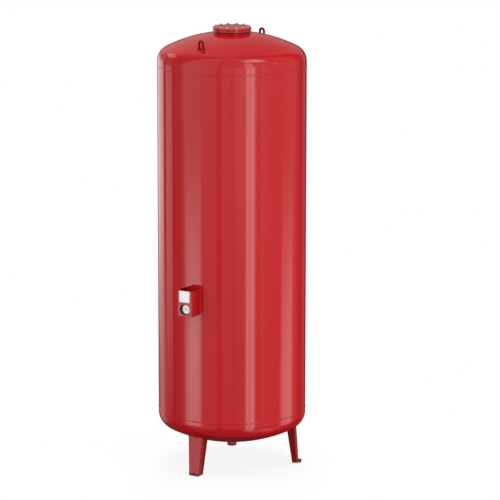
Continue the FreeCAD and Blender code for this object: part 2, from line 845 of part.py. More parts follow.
save("gauge_guard", gauge_guard())
save("guard_welds", guard_welds())
save("label_plate", label_plate())
save("shell_boss", shell_boss())
save("boss_weld", boss_weld())
save("valve_block", valve_block())
save("gas_valve", gas_valve())
save("valve_cap", valve_cap())
save("gauge_stem", gauge_stem())
save("gauge_case", gauge_case())
save("gauge_bezel", gauge_bezel())
save("gauge_lens", gauge_lens())
save("gauge_dial", gauge_dial())
save("gauge_movement", gauge_movement())
save("bourdon_tube", bourdon_tube())
save("gauge_pointer", gauge_pointer())
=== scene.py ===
import bisect
import math
import random

import bmesh
import bpy
from mathutils import Matrix, Vector, noise


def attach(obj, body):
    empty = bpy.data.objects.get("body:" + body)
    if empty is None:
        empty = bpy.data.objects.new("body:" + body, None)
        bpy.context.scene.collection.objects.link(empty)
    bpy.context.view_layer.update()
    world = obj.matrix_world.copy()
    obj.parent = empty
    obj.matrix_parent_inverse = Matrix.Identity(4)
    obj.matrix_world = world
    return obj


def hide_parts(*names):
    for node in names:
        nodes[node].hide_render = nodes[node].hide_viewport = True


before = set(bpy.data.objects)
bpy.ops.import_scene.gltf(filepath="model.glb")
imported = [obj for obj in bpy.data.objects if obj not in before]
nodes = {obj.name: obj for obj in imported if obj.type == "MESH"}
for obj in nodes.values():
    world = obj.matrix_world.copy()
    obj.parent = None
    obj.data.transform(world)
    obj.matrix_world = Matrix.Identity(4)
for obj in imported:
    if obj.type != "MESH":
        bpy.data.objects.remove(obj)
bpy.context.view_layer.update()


# The camera stands 15 metres off and a little above the tank, as a long lens in a large studio does. The tank
# turns its guarded gauge to the left of the view, and a small shift frames the picture as it was cropped.
eye_turn = math.radians(31.4)
eye_distance = 15.2871
eye_height = 4.2704
eye_pitch = math.radians(11.759)
frame_pixels = 500
focal_pixels = 3122.15
axis_column = 231.967
camera_data = bpy.data.cameras.new("camera")
camera_data.sensor_width = 36
camera_data.lens = 36 * focal_pixels / frame_pixels
camera_data.shift_x = (frame_pixels / 2 - axis_column) / frame_pixels
camera_data.clip_end = 200
camera = bpy.data.objects.new("camera", camera_data)
camera.location = (eye_distance * math.sin(eye_turn), -eye_distance * math.cos(eye_turn), eye_height)
camera.rotation_euler = (math.pi / 2 - eye_pitch, 0, eye_turn)
bpy.context.scene.collection.objects.link(camera)
bpy.context.scene.camera = camera
bpy.context.scene.view_settings.view_transform = "Standard"


# The vessel: a rolled cylinder of 4 mm steel and two dished heads, glossy red powder coat all over. The
# solids have the right shape and stay; the coat shows a faint orange peel and a tone that drifts a little.
class Wire:
    """A socket of a material's nodes. Sums and products of wires add their Math nodes."""

    def __init__(self, tree, socket=None):
        self.tree = tree
        self.socket = socket

    def node(self, kind, settings, sockets, output=0):
        """Adds one node: its settings first, then the values or wires of its sockets."""
        made = self.tree.nodes.new("ShaderNode" + kind)
        for setting, value in settings.items():
            if setting == "stops":
                ramp = made.color_ramp
                while len(ramp.elements) < len(value):
                    ramp.elements.new(0.5)
                for element, (place, colour) in zip(ramp.elements, value):
                    element.position = place
                    element.color = colour
            else:
                setattr(made, setting, value)
        for name, value in sockets.items():
            if isinstance(value, Wire):
                self.tree.links.new(value.socket, made.inputs[name])
            else:
                made.inputs[name].default_value = value
        return Wire(self.tree, made.outputs[output])

    def maths(self, operation, first, second=0.0):
        return self.node("Math", {"operation": operation}, {0: first, 1: second})

    def __add__(self, other):
        return self.maths("ADD", self, other)

    def __radd__(self, other):
        return self.maths("ADD", other, self)

    def __sub__(self, other):
        return self.maths("SUBTRACT", self, other)

    def __rsub__(self, other):
        return self.maths("SUBTRACT", other, self)

    def __mul__(self, other):
        return self.maths("MULTIPLY", self, other)

    def __truediv__(self, other):
        return self.maths("DIVIDE", self, other)

    def __lt__(self, other):
        return self.maths("LESS_THAN", self, other)

    def __gt__(self, other):
        return self.maths("GREATER_THAN", self, other)


def new_finish(name):
    """An empty material, as a wire to hang its nodes on, and its Principled node."""
    finish = bpy.data.materials.new(name)
    finish.use_nodes = True
    return finish, Wire(finish.node_tree), finish.node_tree.nodes["Principled BSDF"]


def feed(wire, shader, socket):
    wire.tree.links.new(wire.socket, shader.inputs[socket])


def mix_colours(tree, share, first, second):
    return tree.node("Mix", {"data_type": "RGBA"}, {0: share, 6: first, 7: second}, 2)


def powder_coat(name, colour, gloss=0.045, peel=1.0, shine=0.5, scuffed_below=None, painted_shade=None):
    """Baked paint: its tone drifts, its skin has a fine orange peel and its gloss isn't quite even. Where a
    painted_shade mask is given, the tone darkens there towards a third of itself: painted shade."""
    finish, tree, shader = new_finish(name)
    shader.inputs["Specular IOR Level"].default_value = shine
    place = tree.node("TexCoord", {}, {}, "Object")
    drift = tree.node("TexNoise", {}, {"Vector": place, "Scale": 2.3, "Detail": 3.0})
    cloud = tree.node("TexNoise", {}, {"Vector": place, "Scale": 14.0, "Detail": 4.0})
    skin = tree.node("TexNoise", {}, {"Vector": place, "Scale": 210.0, "Detail": 1.0})
    wave = tree.node("TexNoise", {}, {"Vector": place, "Scale": 4.0, "Detail": 1.0})
    deep = [value * 0.93 for value in colour[:3]] + [1.0]
    fresh = [min(1.0, value * 1.05) for value in colour[:3]] + [1.0]
    tone = mix_colours(tree, drift * 0.7 + cloud * 0.3, deep, fresh)
    roughness = gloss + (cloud - 0.5) * 0.03
    # Painted shade: the mask darkens the tone where shade falls, in corners, recesses and under things.
    if painted_shade:
        painted_shade_tone = [value * 0.3 for value in colour[:3]] + [1.0]
        tone = mix_colours(tree, painted_shade(tree, place), tone, painted_shade_tone)
    if scuffed_below:
        height = tree.node("SeparateXYZ", {}, {"Vector": place}, 2)
        grit = tree.node("TexNoise", {}, {"Vector": place, "Scale": 130.0, "Detail": 5.0})
        low = tree.node("MapRange", {}, {"Value": height, "From Min": 0.0, "From Max": scuffed_below,
                                         "To Min": 1.0, "To Max": 0.0})
        scuff = (low * grit * 1.7 > 0.62) * 0.55
        tone = mix_colours(tree, scuff, tone, (0.20, 0.15, 0.14, 1.0))
        roughness = roughness + scuff * 0.6
    feed(tone, shader, "Base Color")
    feed(roughness, shader, "Roughness")
    slow = tree.node("Bump", {}, {"Height": wave, "Strength": 1.0, "Distance": 0.00015})
    fine = tree.node("Bump", {}, {"Height": skin, "Strength": 1.0, "Distance": 0.000012 * peel,
                                  "Normal": slow})
    feed(fine, shader, "Normal")
    return finish


def dress(names, finish):
    """Gives solids that are shown as they are their finish."""
    for name in names:
        solid = nodes[name]
        solid.data.materials.clear()
        solid.data.materials.append(finish)


vessel_red = (0.50, 0.006, 0.010, 1.0)
vessel_coat = powder_coat("vessel_coat", vessel_red)
shell_radius = 370.0
crown_radius = 740.0
knuckle_radius = 74.0
knuckle_centre = 296.0
lower_tangent = 264.5
upper_tangent = 2045.5
crown_drop = math.sqrt((crown_radius - knuckle_radius) ** 2 - knuckle_centre ** 2)


def head_surface(x, y, side, offset=0.0):
    """The height of a head's outside over a point, in millimetres, and the way that its surface faces."""
    radius = math.hypot(x, y)
    if radius < knuckle_centre * crown_radius / (crown_radius - knuckle_radius):
        tall = math.sqrt((crown_radius + offset) ** 2 - radius ** 2)
        drop = crown_drop
        facing = Vector((x, y, side * tall))
    else:
        tall = math.sqrt((knuckle_radius + offset) ** 2 - (radius - knuckle_centre) ** 2)
        drop = 0.0
        out = (radius - knuckle_centre) / radius
        facing = Vector((x * out, y * out, side * tall))
    tangent = upper_tangent if side > 0 else lower_tangent
    return tangent + side * (tall - drop), facing.normalized()


dress(["shell_cylinder", "upper_head", "lower_head", "shell_boss"], vessel_coat)


# The vessel's seams: butt welds laid by machine, one up the back of the rolled plate and one round each head.
# Each is a low bead of overlapping ripples that is painted over with the vessel.
def lay_bead(shape, path, length, height, root, pitch, closed=False):
    """Lays a weld bead: a grid wrapped to a tube along a path, its top raised in ripples.
    The path gives the bead's middle, its half width as a vector and its outward direction."""
    ripples = round(length / pitch)
    laid = bmesh.ops.create_grid(shape, x_segments=ripples * 4, y_segments=10, size=0.5)
    widest = path(0.5 * length)[1].length
    for vert in laid["verts"]:
        along = (vert.co.x + 0.5) * length
        turn = 2 * math.pi * (vert.co.y + 0.5)
        middle, across, out = path(along)
        ebb = noise.noise(middle * 0.06)
        end = 1.0
        if not closed:
            end = math.sqrt(max(0.0, 1 - (1 - min(along, length - along, widest) / widest) ** 2))
        side = math.cos(turn) * (1 + 0.07 * ebb) * end
        rise = math.sin(turn) * end
        wave = along / length * ripples + 0.35 * (1 - side * side)
        depth = root if rise < 0 else height * (0.9 + 0.08 * ebb + 0.1 * math.cos(2 * math.pi * wave))
        vert.co = middle + across * side + out * (rise * depth)


def make_piece(name, shape, finish, slot, body, *nodes_replaced, sharp=35.0):
    """Turns a shape drawn in millimetres into a piece that rides on a body and stands for its solids."""
    bmesh.ops.remove_doubles(shape, verts=shape.verts, dist=0.0005)
    bmesh.ops.recalc_face_normals(shape, faces=shape.faces)
    for face in shape.faces:
        face.smooth = True
    for edge in shape.edges:
        edge.smooth = edge.calc_face_angle(0.0) < math.radians(sharp)
    bmesh.ops.scale(shape, vec=(0.001, 0.001, 0.001), verts=shape.verts)
    mesh = bpy.data.meshes.new(name)
    shape.to_mesh(mesh)
    shape.free()
    mesh.materials.append(finish)
    piece = bpy.data.objects.new(name, mesh)
    bpy.context.scene.collection.objects.link(piece)
    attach(piece, body)
    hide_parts(*nodes_replaced)
    return piece


seam_half_width = 3.2
lower_seam = 286.0
upper_seam = 2024.0


def round_the_shell(height):
    def path(distance):
        turn = distance / shell_radius
        out = Vector((math.cos(turn), math.sin(turn), 0))
        return out * shell_radius + Vector((0, 0, height)), Vector((0, 0, seam_half_width)), out
    return path


def up_the_back(distance):
    height = lower_seam + 3 + distance
    return Vector((0, shell_radius, height)), Vector((seam_half_width, 0, 0)), Vector((0, 1, 0))


for name, height in (("lower_girth_weld", lower_seam), ("upper_girth_weld", upper_seam)):
    seam = bmesh.new()
    lay_bead(seam, round_the_shell(height), 2 * math.pi * shell_radius, 1.1, 4.0, 3.4, closed=True)
    make_piece(name + "_bead", seam, vessel_coat, "red_paint", "tank", name, sharp=60)

seam = bmesh.new()
lay_bead(seam, up_the_back, upper_seam - lower_seam - 6, 1.0, 4.0, 3.4)
make_piece("longitudinal_weld_bead", seam, vessel_coat, "red_paint", "tank", "longitudinal_weld", sharp=60)


# The opening in the crown: a forged ring whose hub stands in the upper head, welded round its foot. It is
# turned on a lathe and painted with the vessel; its rim carries the bladder and the cover.
def turned(shape, corners, segments=128):
    """Spins a closed outline of (radius, height) corners round the tank's axis."""
    verts = [shape.verts.new((radius, 0, height)) for radius, height in corners]
    edges = [shape.edges.new((verts[i - 1], verts[i])) for i in range(len(verts))]
    bmesh.ops.spin(shape, geom=verts + edges, axis=(0, 0, 1), cent=(0, 0, 0), steps=segments,
                   angle=2 * math.pi, use_merge=True)
    bmesh.ops.remove_doubles(shape, verts=shape.verts, dist=0.0005)
    bmesh.ops.recalc_face_normals(shape, faces=shape.faces)


def soften(shape, width, segments=2, least=40.0):
    """Rounds the edges where two faces meet at more than the least angle, in degrees."""
    edges = [edge for edge in shape.edges if edge.calc_face_angle(0.0) > math.radians(least)]
    bmesh.ops.bevel(shape, geom=edges, offset=width, segments=segments, profile=0.5, affect="EDGES",
                    material=-1, clamp_overlap=True)


opening_radius = 65.0
hub_radius = 88.0
hub_bottom = 2175.5
ring_radius = 95.0
ring_bottom = 2192.5
ring_top = 2201.5
shade_rise = 1.5


def under_the_rim(tree, place):
    """How much painted shade darkens the tone: half, on the ring's underside and its hub, under the rim."""
    height = tree.node("SeparateXYZ", {}, {"Vector": place}, 2)
    return (height < shade_rise / 1000 + ring_bottom / 1000) * 0.5


# ring_coat: the vessel's red with painted shade under the rim, on the ring's underside, its hub and the weld
# at its foot.
ring_coat = powder_coat("ring_coat", vessel_red, painted_shade=under_the_rim)
ring_shape = bmesh.new()
turned(ring_shape, [(opening_radius, hub_bottom), (hub_radius, hub_bottom), (hub_radius, ring_bottom),
                    (ring_radius, ring_bottom), (ring_radius, ring_top), (opening_radius, ring_top)])
soften(ring_shape, 0.7)
make_piece("flange_ring_turned", ring_shape, ring_coat, "red_paint", "tank", "flange_ring")


def along_surface(out, facing):
    """The way that a direction takes along a surface that faces another way."""
    return (out - facing * out.dot(facing)).normalized()


def fillet_path(corners, leg, closed=False):
    """A bead's path in the corner of two surfaces. A corner is a point and the ways that both run from it."""
    spots = corners + corners[:1] if closed else corners
    reach = [0.0]
    for i in range(1, len(spots)):
        reach.append(reach[-1] + (spots[i][0] - spots[i - 1][0]).length)

    def path(distance):
        i = min(max(bisect.bisect_right(reach, distance), 1), len(spots) - 1)
        share = (distance - reach[i - 1]) / (reach[i] - reach[i - 1])
        point, first, second = [spots[i - 1][j].lerp(spots[i][j], share) for j in range(3)]
        first.normalize()
        second.normalize()
        middle = point + (first + second) * (leg / 2)
        return middle, (first - second) * (leg / 2), (first + second).normalized()

    return path, reach[-1]


def round_the_axis(radius, side, leg, steps=96):
    """The path of a fillet round the tank's axis, on a head."""
    corners = []
    for i in range(steps):
        out = Vector((math.cos(2 * math.pi * i / steps), math.sin(2 * math.pi * i / steps), 0))
        height, facing = head_surface(out.x * radius, out.y * radius, side)
        corners.append((out * radius + Vector((0, 0, height)), along_surface(out, facing),
                        Vector((0, 0, side))))
    return fillet_path(corners, leg, closed=True)


ring_weld_leg = 4.0
ring_weld = bmesh.new()
ring_weld_path, ring_weld_length = round_the_axis(hub_radius, 1, ring_weld_leg)
lay_bead(ring_weld, ring_weld_path, ring_weld_length, 0.8, 2.8, 3.0, closed=True)
make_piece("flange_ring_bead", ring_weld, ring_coat, "red_paint", "tank", "flange_ring_weld", sharp=60)


# The bladder: one moulded bag of black butyl rubber that hangs in the vessel. Only the edge of its rim shows,
# as a dark line between the ring and the cover; a steel band holds its lower neck on the pipe.
def dish(side, offset, stop_radius, steps=14):
    """(radius, height) points of a head's profile, offset outwards, from the tangent to a stop radius."""
    tangent = upper_tangent if side > 0 else lower_tangent
    knuckle = knuckle_radius + offset
    crown = crown_radius + offset
    joint = math.atan2(crown_drop, knuckle_centre)
    stop = math.acos(stop_radius / crown)
    points = []
    for i in range(steps + 1):
        turn = joint * i / steps
        points.append((knuckle_centre + knuckle * math.cos(turn), tangent + side * knuckle * math.sin(turn)))
    for i in range(1, steps + 1):
        turn = joint + (stop - joint) * i / steps
        points.append((crown * math.cos(turn), tangent + side * (crown * math.sin(turn) - crown_drop)))
    return points


def clouded_finish(name, first, second, cloud, gloss, grain=None):
    """A plain finish whose tone and gloss drift in clouds. The cloud is a noise's scale and detail, the gloss
    a roughness and how far it drifts, and the grain a bump's scale, detail, strength and distance."""
    finish, tree, shader = new_finish(name)
    place = tree.node("TexCoord", {}, {}, "Object")
    drift = tree.node("TexNoise", {}, {"Vector": place, "Scale": cloud[0], "Detail": cloud[1]})
    feed(mix_colours(tree, drift, first, second), shader, "Base Color")
    feed(gloss[0] + drift * gloss[1], shader, "Roughness")
    if grain:
        scale, detail, strength, distance = grain
        skin = tree.node("TexNoise", {}, {"Vector": place, "Scale": scale, "Detail": detail})
        feed(tree.node("Bump", {}, {"Height": skin, "Strength": strength, "Distance": distance}),
             shader, "Normal")
    return finish


rubber = clouded_finish("butyl_rubber", (0.010, 0.010, 0.011, 1), (0.028, 0.027, 0.027, 1),
                        cloud=(35.0, 4.0), gloss=(0.55, 0.25), grain=(900.0, 2.0, 0.6, 0.00005))
bladder_rim = 93.5
bladder_rim_top = ring_top + 2
bladder_neck = 63.0
bladder_wall = 3.0
bladder_gap = 29.0
bladder_sleeve = 27.25
sleeve_end = 125.7
bladder_shape = bmesh.new()
turned(bladder_shape,
       [(bladder_rim, bladder_rim_top), (bladder_rim, ring_top), (bladder_neck, ring_top)] +
       dish(1, -bladder_gap, bladder_neck)[::-1] + dish(-1, -bladder_gap, bladder_sleeve) +
       [(bladder_sleeve, sleeve_end), (bladder_sleeve - bladder_wall, sleeve_end)] +
       dish(-1, -bladder_gap - bladder_wall, bladder_sleeve - bladder_wall)[::-1] +
       dish(1, -bladder_gap - bladder_wall, bladder_neck - bladder_wall) +
       [(bladder_neck - bladder_wall, bladder_rim_top)])
make_piece("bladder_bag", bladder_shape, rubber, "bladder_rubber", "tank", "bladder")

band, band_tree, band_shader = new_finish("stainless_band")
band_shader.inputs["Metallic"].default_value = 1.0
band_place = band_tree.node("TexCoord", {}, {}, "Object")
band_stretch = band_tree.node("Mapping", {}, {"Vector": band_place, "Scale": (40.0, 40.0, 2600.0)})
band_grain = band_tree.node("TexNoise", {}, {"Vector": band_stretch, "Scale": 1.0, "Detail": 3.0})
feed(mix_colours(band_tree, band_grain, (0.50, 0.50, 0.51, 1), (0.66, 0.66, 0.65, 1)),
     band_shader, "Base Color")
feed(0.2 + band_grain * 0.25, band_shader, "Roughness")
dress(["bladder_clamp"], band)


# The cover: a turned steel disc on the bladder's rim, painted with the vessel. Twelve hexagon bolts on
# washers clamp it, and a hexagon plug closes the vent in its middle. The fasteners are zinc plated, and the
# red powder has misted them thinly.
cover_bottom = 2203.5
cover_top = 2212.5
plug_hole_radius = 6.5
cover_shape = bmesh.new()
turned(cover_shape, [(plug_hole_radius, cover_bottom), (ring_radius, cover_bottom), (ring_radius, cover_top),
                     (plug_hole_radius, cover_top)])
soften(cover_shape, 1.0, segments=3)
make_piece("cover_disc", cover_shape, vessel_coat, "red_paint", "tank", "cover_plate")

zinc, zinc_tree, zinc_shader = new_finish("zinc_plate")
zinc_place = zinc_tree.node("TexCoord", {}, {}, "Object")
zinc_cloud = zinc_tree.node("TexNoise", {}, {"Vector": zinc_place, "Scale": 110.0, "Detail": 4.0})
zinc_grain = zinc_tree.node("TexNoise", {}, {"Vector": zinc_place, "Scale": 1300.0, "Detail": 2.0})
plate = mix_colours(zinc_tree, zinc_cloud, (0.55, 0.54, 0.55, 1), (0.80, 0.78, 0.77, 1))
zinc_mist = zinc_tree.node("TexNoise", {}, {"Vector": zinc_place, "Scale": 420.0, "Detail": 3.0})
misted = zinc_tree.node("MapRange", {}, {"Value": zinc_mist, "From Min": 0.40, "From Max": 0.60,
                                         "To Min": 0.1, "To Max": 0.85})
feed(mix_colours(zinc_tree, misted, plate, vessel_red), zinc_shader, "Base Color")
feed(1.0 - misted, zinc_shader, "Metallic")
feed(0.16 + zinc_cloud * 0.2, zinc_shader, "Roughness")
feed(zinc_tree.node("Bump", {}, {"Height": zinc_grain, "Strength": 0.5, "Distance": 0.00002}),
     zinc_shader, "Normal")


def add_washer(shape, x, y, outer, inner, low, thick):
    piece = bmesh.new()
    turned(piece, [(inner, low), (outer, low), (outer, low + thick), (inner, low + thick)], segments=40)
    soften(piece, 0.3)
    bmesh.ops.translate(piece, vec=(x, y, 0), verts=piece.verts)
    pour(shape, piece)


def pour(shape, piece):
    """Adds one shape to another and frees it."""
    carrier = bpy.data.meshes.new("carrier")
    piece.to_mesh(carrier)
    piece.free()
    shape.from_mesh(carrier)
    bpy.data.meshes.remove(carrier)


def add_hexagon_head(shape, x, y, across_flats, seat, height, turn):
    """A forged hexagon head whose top edge is turned to a cone, so its corners drop in small arcs."""
    piece = bmesh.new()
    base = bmesh.ops.create_circle(piece, cap_ends=False, segments=72, radius=1.0)["verts"]
    apothem = across_flats / 2
    reach = {}
    for vert in base:
        angle = math.atan2(vert.co.y, vert.co.x)
        off_flat = (angle + math.pi / 6) % (math.pi / 3) - math.pi / 6
        reach[vert] = min(apothem / math.cos(off_flat), apothem * 1.135)
        vert.co = Vector((math.cos(angle), math.sin(angle), 0)) * reach[vert] + Vector((0, 0, seat))
    edges = list(piece.edges)
    grown = bmesh.ops.extrude_edge_only(piece, edges=edges)["geom"]
    wall = [item for item in grown if isinstance(item, bmesh.types.BMVert)]
    for vert in wall:
        out = Vector((vert.co.x, vert.co.y, 0))
        vert.co.z = seat + height - (out.length - apothem * 0.94) * math.tan(math.radians(30))
    edges = [item for item in grown if isinstance(item, bmesh.types.BMEdge)]
    grown = bmesh.ops.extrude_edge_only(piece, edges=edges)["geom"]
    for vert in grown:
        if isinstance(vert, bmesh.types.BMVert):
            out = Vector((vert.co.x, vert.co.y, 0))
            vert.co = out.normalized() * (apothem * 0.94) + Vector((0, 0, seat + height))
    rim = [item for item in grown if isinstance(item, bmesh.types.BMEdge)]
    bmesh.ops.contextual_create(piece, geom=rim)
    bmesh.ops.contextual_create(piece, geom=[edge for edge in piece.edges if edge.is_boundary])
    bmesh.ops.rotate(piece, cent=(0, 0, 0), matrix=Matrix.Rotation(turn, 3, "Z"), verts=piece.verts)
    bmesh.ops.translate(piece, vec=(x, y, 0), verts=piece.verts)
    pour(shape, piece)


def add_shank(shape, x, y, radius, low, high):
    piece = bmesh.new()
    turned(piece, [(0, low), (radius - 1, low), (radius, low + 1), (radius, high), (0, high)], segments=24)
    bmesh.ops.translate(piece, vec=(x, y, 0), verts=piece.verts)
    pour(shape, piece)


bolt_count = 12
bolt_circle_radius = 80.0
bolt_radius = 4.0
bolt_length = 20.0
bolt_head_width = 13.0
bolt_head_height = 5.28
washer_radius = 8.0
washer_hole_radius = 4.2
washer_thickness = 1.6
bolt_seat = cover_top + washer_thickness
spanner = random.Random(12)
bolts_shape = bmesh.new()
washers_shape = bmesh.new()
for i in range(bolt_count):
    turn = 2 * math.pi * (i + 0.5) / bolt_count
    bolt_x = bolt_circle_radius * math.cos(turn)
    bolt_y = bolt_circle_radius * math.sin(turn)
    add_washer(washers_shape, bolt_x, bolt_y, washer_radius, washer_hole_radius, cover_top, washer_thickness)
    add_hexagon_head(bolts_shape, bolt_x, bolt_y, bolt_head_width, bolt_seat, bolt_head_height,
                     spanner.uniform(0, math.pi / 3))
    add_shank(bolts_shape, bolt_x, bolt_y, bolt_radius, bolt_seat - bolt_length, bolt_seat)
make_piece("cover_washer_set", washers_shape, zinc, "cover_fasteners", "tank", "cover_washers")
make_piece("cover_bolt_set", bolts_shape, zinc, "cover_fasteners", "tank", "cover_bolts", sharp=18)

plug_radius = 6.4
plug_length = 7.0
plug_head_width = 19.0
plug_head_height = 5.0
plug_washer_radius = 10.0
plug_washer_thickness = 1.5
plug_seat = cover_top + plug_washer_thickness
plug_washer_shape = bmesh.new()
add_washer(plug_washer_shape, 0, 0, plug_washer_radius, plug_hole_radius, cover_top, plug_washer_thickness)
make_piece("vent_washer", plug_washer_shape, zinc, "cover_fasteners", "tank", "vent_plug_washer")
plug_shape = bmesh.new()
add_hexagon_head(plug_shape, 0, 0, plug_head_width, plug_seat, plug_head_height, 0.4)
add_shank(plug_shape, 0, 0, plug_radius, plug_seat - plug_length, plug_seat)
make_piece("vent_plug_hexagon", plug_shape, zinc, "cover_fasteners", "tank", "vent_plug", sharp=18)


# Two lifting eyes: round bar bent to a loop, standing on the upper head at the front and the rear. Each leg
# of the bar has a small hand-laid weld round its foot.
# Painted shade: the eyes and their welds are a darker copy of the vessel's red.
shaded_eye_coat = powder_coat("shaded_eye_coat", (0.25, 0.002, 0.004, 1.0), gloss=0.12, shine=0.12)
dress(["lifting_eye_front", "lifting_eye_rear"], shaded_eye_coat)
eye_radius = 279.0
eye_offset = math.radians(-1.1)
eye_leg = 12.0
bar_radius = 6.0
eye_weld_leg = 4.0
for side, place in ((-1, "front"), (1, "rear")):
    eye_weld = bmesh.new()
    for across in (-eye_leg, eye_leg):
        corners = []
        for i in range(24):
            turn = 2 * math.pi * i / 24
            out = Vector((math.cos(turn), math.sin(turn), 0))
            spot = Vector((across, side * eye_radius, 0)) + out * bar_radius
            height, facing = head_surface(spot.x, spot.y, 1)
            corners.append((Vector((spot.x, spot.y, height)), along_surface(out, facing), Vector((0, 0, 1))))
        bead_path, bead_length = fillet_path(corners, eye_weld_leg, closed=True)
        lay_bead(eye_weld, bead_path, bead_length, 0.9, 2.8, 3.4, closed=True)
    bmesh.ops.rotate(eye_weld, cent=(0, 0, 0), matrix=Matrix.Rotation(eye_offset, 3, "Z"),
                     verts=eye_weld.verts)
    make_piece("lifting_eye_bead_" + place, eye_weld, shaded_eye_coat, "eye_paint", "tank",
               "lifting_eye_weld_" + place, sharp=60)


# Three legs: channels pressed from 5 mm sheet with their foot bent outwards, welded to the lower head along
# their three walls. Their red is a darker copy of the vessel's, darker still on their flanges and their feet:
# painted shade. Their feet are scuffed.
flange_edge = 333.0
flange_slope = 0.068
foot_top = 9.0


def on_flange_or_foot(tree, place):
    """How much painted shade darkens the flanges, nearer the tank's axis, and the feet."""
    height = tree.node("SeparateXYZ", {}, {"Vector": place}, 2)
    flat = tree.node("VectorMath", {"operation": "MULTIPLY"}, {0: place, 1: (1.0, 1.0, 0.0)})
    off_axis = tree.node("VectorMath", {"operation": "LENGTH"}, {0: flat}, 1)
    flange = (off_axis + height * flange_slope < flange_edge / 1000) * 0.7
    return tree.maths("MAXIMUM", flange, (height < foot_top / 1000) * 0.9)


# Painted shade: a darker copy of the vessel's red, darker still on the flanges and feet. The scuffs near the
# floor are wear.
shaded_leg_coat = powder_coat("shaded_leg_coat", (0.40, 0.002, 0.005, 1.0), gloss=0.10, shine=0.25, scuffed_below=0.02,
                       painted_shade=on_flange_or_foot)
dress(["leg_front", "leg_right", "leg_left"], shaded_leg_coat)
leg_weld_leg = 3.5
leg_bottom_half = 34.0
leg_top_half = 49.0
leg_bottom_radius = 336.0
leg_top_radius = 318.0
leg_bottom_depth = 28.0
leg_top_depth = 50.5
leg_bend = 8.0


def leg_outline(height):
    """The corners of a leg's outside at a height, as (x, y) from one flange's end round to the other's."""
    rise = height / lower_tangent
    half = leg_bottom_half + (leg_top_half - leg_bottom_half) * rise
    front = -(leg_bottom_radius - (leg_bottom_radius - leg_top_radius) * rise)
    back = front + leg_bottom_depth + (leg_top_depth - leg_bottom_depth) * rise
    points = [(-half, back + (front + leg_bend - back) * i / 10) for i in range(10)]
    for i in range(7):
        around = math.pi / 12 * i
        points.append((-half + leg_bend - leg_bend * math.cos(around),
                       front + leg_bend - leg_bend * math.sin(around)))
    points += [(-half + leg_bend + (half - leg_bend) * i / 8, front) for i in range(1, 9)]
    return points + [(-x, y) for x, y in points[-2::-1]]


leg_corners = []
for i in range(len(leg_outline(0))):
    height = 200.0
    for attempt in range(6):
        x, y = leg_outline(height)[i]
        height, facing = head_surface(x, y, -1)
    before = Vector(leg_outline(height)[max(i - 1, 0)])
    after = Vector(leg_outline(height)[min(i + 1, len(leg_outline(0)) - 1)])
    run = (after - before).normalized()
    out = Vector((run.y, -run.x, 0))
    leg_corners.append((Vector((x, y, height)), along_surface(out, facing), Vector((0, 0, -1))))
for turn, place in ((-2.8, "front"), (117.2, "right"), (244.0, "left")):
    leg_weld = bmesh.new()
    bead_path, bead_length = fillet_path(leg_corners, leg_weld_leg)
    lay_bead(leg_weld, bead_path, bead_length, 0.8, 2.4, 3.2)
    bmesh.ops.rotate(leg_weld, cent=(0, 0, 0), matrix=Matrix.Rotation(math.radians(turn), 3, "Z"),
                     verts=leg_weld.verts)
    make_piece("leg_bead_" + place, leg_weld, shaded_leg_coat, "leg_paint", "tank", "leg_weld_" + place, sharp=60)


# The connection: a pipe through the middle of the lower head with a pipe thread cut on its end, and a broad
# weld round it. The pipe's paint is a paler, pinker copy of the vessel's red all over: painted sheen.
def cut_thread(shape, low, high, crest, depth, pitch):
    """Presses a screw thread into the wall between two heights. It runs out over its last half turn."""
    for vert in shape.verts:
        radius = math.hypot(vert.co.x, vert.co.y)
        if low <= vert.co.z <= high and radius > crest - depth:
            turn = math.atan2(vert.co.y, vert.co.x) / (2 * math.pi)
            phase = (vert.co.z / pitch - turn) % 1.0
            groove = depth * (1 - abs(2 * phase - 1)) * min(1.0, (high - vert.co.z) / (pitch * 0.6))
            share = (radius - groove) / radius
            vert.co.x *= share
            vert.co.y *= share


def wall(radius, low, high, step):
    """Outline points up a wall, closely spaced for a thread."""
    count = math.ceil((high - low) / step)
    return [(radius, low + (high - low) * i / count) for i in range(count + 1)]


# Painted sheen: the pink tint stands in for a reflection on the pipe.
connection_sheen_coat = powder_coat("connection_sheen_coat", (0.50, 0.11, 0.12, 1.0), gloss=0.22, peel=1.4)
pipe_bottom = 81.1
pipe_top = 153.1
pipe_radius = 24.15
pipe_bore_radius = 20.95
pipe_end_radius = 22.9
thread_radius = 23.9
thread_top = 106.1
thread_depth = 1.479
thread_pitch = 2.309
pipe_shape = bmesh.new()
turned(pipe_shape,
       [(pipe_bore_radius, pipe_bottom), (pipe_end_radius, pipe_bottom)] +
       wall(thread_radius, pipe_bottom + 1, thread_top, 0.2) +
       [(pipe_radius, thread_top + 0.3), (pipe_radius, pipe_top), (pipe_bore_radius, pipe_top)], segments=120)
cut_thread(pipe_shape, pipe_bottom + 0.9, thread_top, thread_radius, thread_depth, thread_pitch)
make_piece("connection_pipe_threaded", pipe_shape, connection_sheen_coat, "connection_paint", "tank",
           "connection_pipe", sharp=50)

connection_weld_leg = 10.6
connection_weld_shape = bmesh.new()
connection_path, connection_length = round_the_axis(pipe_radius, -1, connection_weld_leg)
lay_bead(connection_weld_shape, connection_path, connection_length, 1.2, 7.0, 4.2, closed=True)
make_piece("connection_bead", connection_weld_shape, vessel_coat, "red_paint", "tank", "connection_weld",
           sharp=60)


# The gauge guard: one sheet bent to a box that is open above and below, with a round hole for the gauge's
# face. Its walls are welded to the shell, and a bare white film label is stuck above the hole.
guard_half = 42.0
guard_front = 444.0
guard_bottom = 834.0
guard_height = 129.0
inside_depth = 1.5


def inside_the_box(tree, place):
    """Where the sheet faces the inside of the box, which is darkened there: painted shade."""
    across = tree.node("SeparateXYZ", {}, {"Vector": place}, 0)
    depth = tree.node("SeparateXYZ", {}, {"Vector": place}, 1)
    inside_half = (guard_half - inside_depth) / 1000
    inside_front = (guard_front - inside_depth) / 1000
    return (tree.maths("ABSOLUTE", across) < inside_half) * (depth > -inside_front)
